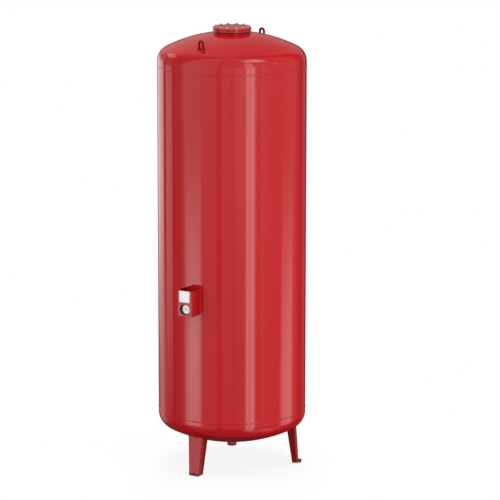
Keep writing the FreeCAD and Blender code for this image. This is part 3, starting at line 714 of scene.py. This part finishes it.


# Painted shade: the guard and its welds are darker copies of the vessel's red, and the inside of the box is
# darker still.
shaded_guard_coat = powder_coat("shaded_guard_coat", (0.39, 0.002, 0.005, 1.0), gloss=0.07, shine=0.38,
                         painted_shade=inside_the_box)
shaded_bead_coat = powder_coat("shaded_guard_bead_coat", (0.36, 0.003, 0.006, 1.0), gloss=0.3, shine=0.2)
dress(["gauge_guard"], shaded_guard_coat)
guard_weld_leg = 4.0
guard_weld_shape = bmesh.new()
for side in (-1, 1):
    seat = math.sqrt(shell_radius ** 2 - guard_half ** 2)
    slope = Vector((side * seat, guard_half, 0)).normalized()
    corners = [(Vector((side * guard_half, -seat, guard_bottom + guard_height * i / 4)), slope,
                Vector((0, -1, 0))) for i in range(5)]
    bead_path, bead_length = fillet_path(corners, guard_weld_leg)
    lay_bead(guard_weld_shape, bead_path, bead_length, 0.9, 2.8, 3.2)
make_piece("guard_beads", guard_weld_shape, shaded_bead_coat, "guard_paint", "tank", "guard_welds", sharp=60)

film = clouded_finish("label_film", (0.90, 0.90, 0.89, 1), (0.96, 0.96, 0.95, 1),
                      cloud=(160.0, 4.0), gloss=(0.28, 0.15), grain=(30.0, 1.0, 1.0, 0.0001))
label_width = 58.0
label_height = 56.0
label_corner = 2.0
label_thickness = 0.35
label_middle = (-2.0, -guard_front, 932.5)
label_shape = bmesh.new()
bmesh.ops.create_grid(label_shape, x_segments=1, y_segments=1, size=0.5)
bmesh.ops.scale(label_shape, vec=(label_width, label_height, 1.0), verts=label_shape.verts)
bmesh.ops.bevel(label_shape, geom=label_shape.verts[:], offset=label_corner, segments=5, profile=0.5,
                affect="VERTICES", material=-1)
bmesh.ops.rotate(label_shape, cent=(0, 0, 0), matrix=Matrix.Rotation(math.pi / 2, 3, "X"),
                 verts=label_shape.verts)
bmesh.ops.translate(label_shape, vec=label_middle, verts=label_shape.verts)
label_sheet = bmesh.ops.extrude_face_region(label_shape, geom=label_shape.faces[:])["geom"]
bmesh.ops.translate(label_shape, vec=(0, -label_thickness, 0),
                    verts=[item for item in label_sheet if isinstance(item, bmesh.types.BMVert)])
make_piece("label_film", label_shape, film, "label_white", "tank", "label_plate")


# The gas side: a socket welded in the shell takes a brass block, which carries the gauge in front and the gas
# valve on top. Its black moulded cap screws over the valve.
def brass_finish(name, bright, dull, lathe_lines):
    """Machined brass: turning lines, a tone that drifts from bright to dull, and fingermarks in its gloss."""
    finish, tree, shader = new_finish(name)
    shader.inputs["Metallic"].default_value = 1.0
    place = tree.node("TexCoord", {}, {}, "Object")
    stain = tree.node("TexNoise", {}, {"Vector": place, "Scale": 90.0, "Detail": 4.0})
    stretch = tree.node("Mapping", {}, {"Vector": place, "Scale": (60.0, 60.0, lathe_lines)})
    lines = tree.node("TexNoise", {}, {"Vector": stretch, "Scale": 1.0, "Detail": 2.0})
    feed(mix_colours(tree, stain, dull, bright), shader, "Base Color")
    feed(0.18 + stain * 0.2 + lines * 0.12, shader, "Roughness")
    feed(tree.node("Bump", {}, {"Height": lines, "Strength": 0.5, "Distance": 0.00002}), shader, "Normal")
    return finish


brass = brass_finish("turned_brass", (0.72, 0.50, 0.22, 1.0), (0.50, 0.33, 0.13, 1.0), 3000.0)
gauge_height = 867.5
boss_radius = 15.0
boss_weld_leg = 5.0
boss_weld_shape = bmesh.new()
corners = []
for i in range(36):
    turn = 2 * math.pi * i / 36
    out = Vector((math.cos(turn), 0, math.sin(turn)))
    x = boss_radius * out.x
    facing = Vector((x, -math.sqrt(shell_radius ** 2 - x ** 2), 0)).normalized()
    corners.append((Vector((x, facing.y * shell_radius, gauge_height + boss_radius * out.z)),
                    along_surface(out, facing), Vector((0, -1, 0))))
bead_path, bead_length = fillet_path(corners, boss_weld_leg, closed=True)
lay_bead(boss_weld_shape, bead_path, bead_length, 1.0, 3.4, 3.4, closed=True)
make_piece("boss_bead", boss_weld_shape, vessel_coat, "red_paint", "tank", "boss_weld", sharp=60)

block_size = (26.0, 22.0, 30.0)
valve_y = -389.5
block_shape = bmesh.new()
bmesh.ops.create_cube(block_shape, size=1.0)
bmesh.ops.scale(block_shape, vec=block_size, verts=block_shape.verts)
bmesh.ops.translate(block_shape, vec=(0, valve_y, gauge_height), verts=block_shape.verts)
soften(block_shape, 1.0, segments=3)


def face_front(shape, distance, height=gauge_height):
    """Turns a shape drawn about the upright axis so that its top faces the front, and sets it in place."""
    bmesh.ops.rotate(shape, cent=(0, 0, 0), matrix=Matrix.Rotation(math.pi / 2, 3, "X"), verts=shape.verts)
    bmesh.ops.translate(shape, vec=(0, -distance, height), verts=shape.verts)


spigot_end = 366.5
spigot_shape = bmesh.new()
turned(spigot_shape, [(2.5, 0), (7, 0), (8, 1), (8, 13), (2.5, 13)], segments=48)
face_front(spigot_shape, spigot_end)
pour(block_shape, spigot_shape)
make_piece("valve_block_machined", block_shape, brass, "valve_brass", "tank", "valve_block")

valve_seat = 882.5
valve_top = valve_seat + 26
valve_radius = 4.0
valve_bore_radius = 1.5
valve_shape = bmesh.new()
turned(valve_shape,
       [(valve_bore_radius, valve_seat - 8), (valve_radius, valve_seat - 8)] +
       wall(valve_radius, valve_seat + 4, valve_top - 0.5, 0.1) +
       [(valve_radius - 0.5, valve_top), (valve_bore_radius, valve_top)], segments=48)
cut_thread(valve_shape, valve_seat + 5, valve_top, valve_radius, 0.45, 0.8)
bmesh.ops.translate(valve_shape, vec=(0, valve_y, 0), verts=valve_shape.verts)
add_hexagon_head(valve_shape, 0, valve_y, 12.0, valve_seat, 4.0, 0.2)
make_piece("gas_valve_stem", valve_shape, brass, "valve_brass", "tank", "gas_valve", sharp=30)

moulded = clouded_finish("moulded_black_plastic", (0.012, 0.012, 0.013, 1), (0.024, 0.024, 0.025, 1),
                         cloud=(220.0, 3.0), gloss=(0.38, 0.14), grain=(2200.0, 1.0, 0.5, 0.00003))
cap_low = 896.8
cap_radius = 5.5
cap_bore_radius = 4.1
flute_count = 12
flute_depth = 0.45
flute_top = cap_low + 12.2
cap_shape = bmesh.new()
turned(cap_shape,
       [(cap_bore_radius, cap_low), (cap_radius - 0.3, cap_low)] +
       wall(cap_radius, cap_low + 0.4, cap_low + 14.0, 0.5) +
       [(cap_radius - 0.3, cap_low + 14.6), (cap_radius - 1.0, cap_low + 15.0), (0, cap_low + 15.0),
        (0, cap_low + 12.0), (3.6, cap_low + 12.0), (cap_bore_radius, cap_low + 11.5)], segments=120)
for vert in cap_shape.verts:
    radius = math.hypot(vert.co.x, vert.co.y)
    if radius > 5.0 and vert.co.z < flute_top:
        turn = math.atan2(vert.co.y, vert.co.x)
        fade = min(1.0, (flute_top - vert.co.z) / 0.8)
        flute = flute_depth * max(0.0, math.cos(flute_count * turn)) * fade
        vert.co.x *= 1 - flute / radius
        vert.co.y *= 1 - flute / radius
bmesh.ops.translate(cap_shape, vec=(0, valve_y, 0), verts=cap_shape.verts)
make_piece("valve_cap_fluted", cap_shape, moulded, "cap_plastic", "cap", "valve_cap", sharp=40)


# The pressure gauge: a brass stem, a black steel case, a curved brass tube and its movement, a white printed
# dial, a black pointer that turns, and a window held by a crimped black bezel.
dress(["gauge_stem", "gauge_movement", "bourdon_tube"], brass)

black_satin = clouded_finish("black_case_paint", (0.010, 0.010, 0.011, 1), (0.020, 0.020, 0.022, 1),
                             cloud=(120.0, 4.0), gloss=(0.26, 0.16), grain=(1400.0, 1.0, 0.4, 0.00003))
dress(["gauge_case"], black_satin)

bezel_back = 426.5
dial_front = 429.0
bezel_shape = bmesh.new()
turned(bezel_shape, [(26.1, 0), (27.0, 0), (27.0, 7.2), (26.4, 7.8), (25.8, 8.0), (23.4, 8.0), (22.8, 7.8),
                     (22.5, 7.3), (22.5, 6.5), (26.1, 6.5)], segments=120)
face_front(bezel_shape, bezel_back)
make_piece("bezel_crimped", bezel_shape, black_satin, "bezel_black", "tank", "gauge_bezel", sharp=50)

dial_white = clouded_finish("dial_enamel", (0.94, 0.94, 0.93, 1), (0.99, 0.99, 0.98, 1),
                            cloud=(60.0, 3.0), gloss=(0.4, 0.15))
dress(["gauge_dial"], dial_white)

dial_ink = clouded_finish("dial_ink", (0.012, 0.012, 0.012, 1), (0.03, 0.03, 0.03, 1),
                          cloud=(500.0, 2.0), gloss=(0.35, 0.2))


def scale_angle(value):
    """The turn from straight up of a reading on the dial, in radians, anticlockwise as the dial is seen."""
    return math.radians(135 - 27 * value)


scale_radius = 20.6
number_radius = 13.6
ink_thickness = 0.04
print_shape = bmesh.new()
for step in range(21):
    mark = bmesh.ops.create_cube(print_shape, size=1.0)["verts"]
    width, length = (0.4, 2.6) if step % 2 == 0 else (0.25, 1.4)
    bmesh.ops.scale(print_shape, vec=(width, length, ink_thickness), verts=mark)
    bmesh.ops.translate(print_shape, vec=(0, scale_radius - length / 2, ink_thickness / 2), verts=mark)
    bmesh.ops.rotate(print_shape, cent=(0, 0, 0), matrix=Matrix.Rotation(scale_angle(step / 2), 3, "Z"),
                     verts=mark)
for value in range(0, 11, 2):
    curve = bpy.data.curves.new("dial_number", "FONT")
    curve.body = str(value)
    curve.size = 3.8
    curve.align_x = "CENTER"
    curve.align_y = "CENTER"
    curve.extrude = ink_thickness / 2
    number = bpy.data.objects.new("dial_number", curve)
    number_mesh = bpy.data.meshes.new_from_object(number)
    before = len(print_shape.verts)
    print_shape.from_mesh(number_mesh)
    print_shape.verts.ensure_lookup_table()
    turn = scale_angle(value)
    bmesh.ops.translate(print_shape, verts=print_shape.verts[before:],
                        vec=(-number_radius * math.sin(turn), number_radius * math.cos(turn),
                             ink_thickness / 2))
    bpy.data.objects.remove(number)
    bpy.data.meshes.remove(number_mesh)
face_front(print_shape, dial_front)
make_piece("dial_print", print_shape, dial_ink, "pointer_black", "tank")

pointer_shape = bmesh.new()
needle = [pointer_shape.verts.new(corner) for corner in
          ((-1.0, -7.0, 0.85), (1.0, -7.0, 0.85), (0.85, -3.0, 0.85), (0.33, 19.0, 0.85), (-0.33, 19.0, 0.85),
           (-0.85, -3.0, 0.85))]
needle_face = pointer_shape.faces.new(needle)
raised = bmesh.ops.extrude_face_region(pointer_shape, geom=[needle_face])["geom"]
bmesh.ops.translate(pointer_shape, vec=(0, 0, 0.45),
                    verts=[item for item in raised if isinstance(item, bmesh.types.BMVert)])
hub_shape = bmesh.new()
turned(hub_shape, [(0, -8.0), (0.8, -8.0), (0.8, 0.8), (4.5, 0.8), (4.5, 1.1), (4.2, 1.35), (0, 1.4)],
       segments=40)
pour(pointer_shape, hub_shape)
bmesh.ops.rotate(pointer_shape, cent=(0, 0, 0), matrix=Matrix.Rotation(scale_angle(3), 3, "Z"),
                 verts=pointer_shape.verts)
face_front(pointer_shape, dial_front)
make_piece("pointer_needle", pointer_shape, dial_ink, "pointer_black", "pointer", "gauge_pointer")

glass = bpy.data.materials.new("window_glass")
glass.use_nodes = True
glass.node_tree.nodes.clear()
pane = Wire(glass.node_tree)
pane_place = pane.node("TexCoord", {}, {}, "Object")
pane_smear = pane.node("TexNoise", {}, {"Vector": pane_place, "Scale": 80.0, "Detail": 3.0})
pane_through = pane.node("BsdfTransparent", {}, {"Color": (0.99, 0.995, 0.99, 1.0)})
pane_shine = pane.node("BsdfAnisotropic", {}, {"Color": (1.0, 1.0, 1.0, 1.0),
                                               "Roughness": 0.02 + pane_smear * 0.06})
pane_share = pane.node("Fresnel", {}, {"IOR": 1.45})
pane_shader = pane.node("MixShader", {}, {0: pane_share, 1: pane_through, 2: pane_shine})
pane_output = glass.node_tree.nodes.new("ShaderNodeOutputMaterial")
glass.node_tree.links.new(pane_shader.socket, pane_output.inputs["Surface"])
dress(["gauge_lens"], glass)


# The studio: a pale floor that fades into a white backdrop, soft lamps, and walls with soft boxes and dark
# gaps that only the glossy paint and metal see.
floor_shape = bmesh.new()
bmesh.ops.create_circle(floor_shape, cap_ends=True, segments=96, radius=60)
floor_mesh = bpy.data.meshes.new("floor")
floor_shape.to_mesh(floor_mesh)
floor_shape.free()
floor = bpy.data.objects.new("floor", floor_mesh)
bpy.context.scene.collection.objects.link(floor)
floor.visible_glossy = False
paper = bpy.data.materials.new("floor_paper")
paper.use_nodes = True
paper.node_tree.nodes.clear()
sheet = Wire(paper.node_tree)
ground = sheet.node("TexCoord", {}, {}, "Object")
reach = sheet.node("VectorMath", {"operation": "LENGTH"}, {0: ground}, 1)
seen = sheet.node("LightPath", {}, {}, "Is Camera Ray")
far = sheet.node("MapRange", {"interpolation_type": "SMOOTHSTEP"},
                 {"Value": reach, "From Min": 0.3, "From Max": 1.0, "To Min": 0.84, "To Max": 1.0})
matt = sheet.node("BsdfDiffuse", {}, {"Color": mix_colours(sheet, seen, (0.40, 0.40, 0.40, 1.0),
                                                           (0.95, 0.95, 0.95, 1.0))})
white = sheet.node("Emission", {}, {"Color": (1.0, 1.0, 1.0, 1.0), "Strength": 1.0})
ground_shader = sheet.node("MixShader", {}, {0: seen * far, 1: matt, 2: white})
output = paper.node_tree.nodes.new("ShaderNodeOutputMaterial")
paper.node_tree.links.new(ground_shader.socket, output.inputs["Surface"])
floor_mesh.materials.append(paper)

world = bpy.data.worlds.new("world")
bpy.context.scene.world = world
world.use_nodes = True
world.node_tree.nodes.clear()
sky = Wire(world.node_tree)
light_path = world.node_tree.nodes.new("ShaderNodeLightPath")
seen_by = [Wire(world.node_tree, light_path.outputs[name])
           for name in ("Is Camera Ray", "Is Glossy Ray", "Is Transmission Ray")]
seen_white = sky.maths("MAXIMUM", sky.maths("MAXIMUM", seen_by[0], seen_by[1]), seen_by[2])
level = sky.node("Mix", {}, {0: seen_white, 2: 0.92, 3: 1.0})
surround = sky.node("Background", {}, {"Color": (1.0, 1.0, 1.0, 1.0), "Strength": level})
world_output = world.node_tree.nodes.new("ShaderNodeOutputWorld")
world.node_tree.links.new(surround.socket, world_output.inputs["Surface"])


def lamp(name, turn, distance, height, width, tall, power, aim=1.1):
    """A soft box at a turn about the tank from the camera's side, aimed at a height on the tank's axis."""
    light = bpy.data.lights.new(name, "AREA")
    light.shape = "RECTANGLE"
    light.size = width
    light.size_y = tall
    light.energy = power
    place = bpy.data.objects.new(name, light)
    angle = eye_turn + math.radians(turn)
    place.location = (distance * math.sin(angle), -distance * math.cos(angle), height)
    place.rotation_euler = (Vector((0, 0, aim)) - place.location).to_track_quat("-Z", "Y").to_euler()
    place.visible_glossy = False
    bpy.context.scene.collection.objects.link(place)


lamp("key_lamp", 48, 4.6, 1.3, 2.0, 2.0, 84)
lamp("fill_lamp", -62, 4.6, 1.2, 2.0, 2.0, 30)
lamp("back_lamp", 178, 2.6, 5.5, 1.2, 1.2, 84, aim=2.2)

# The walls' light. The levels in panels and panel_rise and the strengths of the soft boxes come from another
# program, which fitted them to the reflections in the photo. They are rounded, and a few were changed. The
# places of the stops and the boxes were chosen one by one.
# Panels: the turn from the camera's side in degrees, and the light of the wall that stands there. The turns
# where it drops are gaps between panels; behind the tank the studio is dark.
panels = [
    (-180, 0.15), (-160, 0.25), (-131, 0.40), (-127, 0.10), (-120, 0.35), (-106, 0.30), (-102, 0.15),
    (-96, 0.30), (-85, 0.40), (-76, 1.10), (-50, 1.05), (-46, 0.90), (-26, 0.85), (-20, 0.35),
    (-13, 0.85), (-5, 0.85), (0, 0.70), (6, 0.70), (17, 0.90), (38, 0.90), (41, 0.65), (47, 0.95),
    (54, 0.80), (78, 0.60), (108, 0.55), (120, 0.25), (132, 0.05), (148, 0.25), (160, 0.02), (180, 0.15)]
# The panels' light by height above the floor, in metres: dark below it, where only the lower head looks.
panel_rise = [
    (-12, 0.20), (-10, 0.10), (-7.5, 0.15), (-5, 0.20), (-3, 0.65), (-1.5, 0.80), (0.3, 1.0), (3, 1.1),
    (6, 0.90), (12, 0.90)]
# Soft boxes in front of the panels: turn from and to and how softly they end, height likewise, and light.
soft_boxes = [
    ("tall_strip", 21, 35, 5.5, -7.5, 9.3, 2.5, 1.85),
    ("strip_left_tube", 21.5, 26, 4, -4.5, 3, 2.5, 0.65),
    ("strip_right_tube", 29.5, 34, 4, -4.5, 3, 2.5, 0.95),
    ("low_left", -76.5, -48, 5, -3.1, -0.9, 1.9, 1.6),
    ("low_left_middle", -71, -52, 8, -3.1, -1.4, 1.4, 0.85),
    ("low_right", 83, 107, 9, -4.8, -1, 1.9, 1.0),
    ("low_right_middle", 80, 104, 7, -5.2, -1.9, 1.6, 0.70),
    ("rim_left", -160, -130.5, 5, -1.6, 2.5, 2, 1.15),
    ("rim_left_low", -150, -124, 8, -5, -1.6, 1.6, 0.35),
    ("door_left", -121, -104, 4, -2.1, 1.2, 2, 0.65),
    ("high_left", -147, -121, 5, 6.5, 8.3, 0.8, 1.1),
    ("overhead", 30, 72, 6, 10.1, 11.5, 0.5, 2.6),
    ("overhead_side", 50, 72, 6, 9.4, 11.3, 0.5, 1.1),
    ("high_right", 69, 80, 3, 6, 7.6, 0.8, 0.85),
    ("floor_right", 30, 90, 12, -9.6, -5.4, 2, 0.45),
    ("floor_middle", 50, 72, 10, -8.2, -6, 1.5, 0.70),
    ("floor_left", -70, -30, 12, -6.8, -3.6, 2, 0.20),
    ("front_box", 3, 18, 5, -0.9, 5, 2, 0.40),
    ("behind", 150, 210, 6, 3.6, 14, 1.5, 0.22),
]
drum_radius = 12
drum_shape = bmesh.new()
bmesh.ops.create_uvsphere(drum_shape, u_segments=96, v_segments=48, radius=drum_radius)
drum_mesh = bpy.data.meshes.new("studio_walls")
drum_shape.to_mesh(drum_mesh)
drum_shape.free()
drum = bpy.data.objects.new("studio_walls", drum_mesh)
bpy.context.scene.collection.objects.link(drum)
drum.visible_camera = False
drum.visible_diffuse = False
drum.visible_shadow = False
drum.visible_transmission = False
drum.visible_volume_scatter = False
walls = bpy.data.materials.new("studio_walls")
walls.use_nodes = True
walls.node_tree.nodes.clear()
room = Wire(walls.node_tree)
room_place = room.node("TexCoord", {}, {}, "Object")
facing_camera = room.node("VectorRotate", {"rotation_type": "Z_AXIS"},
                          {"Vector": room_place, "Angle": -eye_turn})
parts = room.tree.nodes.new("ShaderNodeSeparateXYZ")
room.tree.links.new(facing_camera.socket, parts.inputs[0])
across, depth, rise = [Wire(room.tree, parts.outputs[i]) for i in range(3)]
turn = room.maths("ARCTAN2", across, 0.0 - depth) * (180 / math.pi)
turn_behind = (turn < 0.0) * 360.0 + turn
brightest = 1.2


def greys(levels, low, high):
    """The stops of a ramp from places between low and high to greys."""
    return [((place - low) / (high - low), (value / brightest,) * 3 + (1.0,)) for place, value in levels]


def between(value, low, high, soft):
    """1 between two values and 0 outside, with a soft step across each."""
    off_middle = room.maths("ABSOLUTE", value - (low + high) / 2)
    half = (high - low) / 2
    return room.node("MapRange", {"interpolation_type": "SMOOTHSTEP"},
                     {"Value": off_middle, "From Min": half - soft / 2, "From Max": half + soft / 2,
                      "To Min": 1.0, "To Max": 0.0})


panel_light = room.node("ValToRGB", {"stops": greys(panels, -180, 180)}, {"Fac": turn / 360 + 0.5})
rise_light = room.node("ValToRGB", {"stops": greys(panel_rise, -drum_radius, drum_radius)},
                       {"Fac": rise / (2 * drum_radius) + 0.5})
glow = panel_light * rise_light * (brightest * brightest)
for name, start, end, soft, low, high, fade, strength in soft_boxes:
    seen_turn = turn_behind if end > 180 else turn
    glow = glow + between(seen_turn, start, end, soft) * between(rise, low, high, fade) * strength
shine = room.node("Emission", {}, {"Color": (1.0, 1.0, 1.0, 1.0), "Strength": glow})
wall_output = walls.node_tree.nodes.new("ShaderNodeOutputMaterial")
walls.node_tree.links.new(shine.socket, wall_output.inputs["Surface"])
drum_mesh.materials.append(walls)
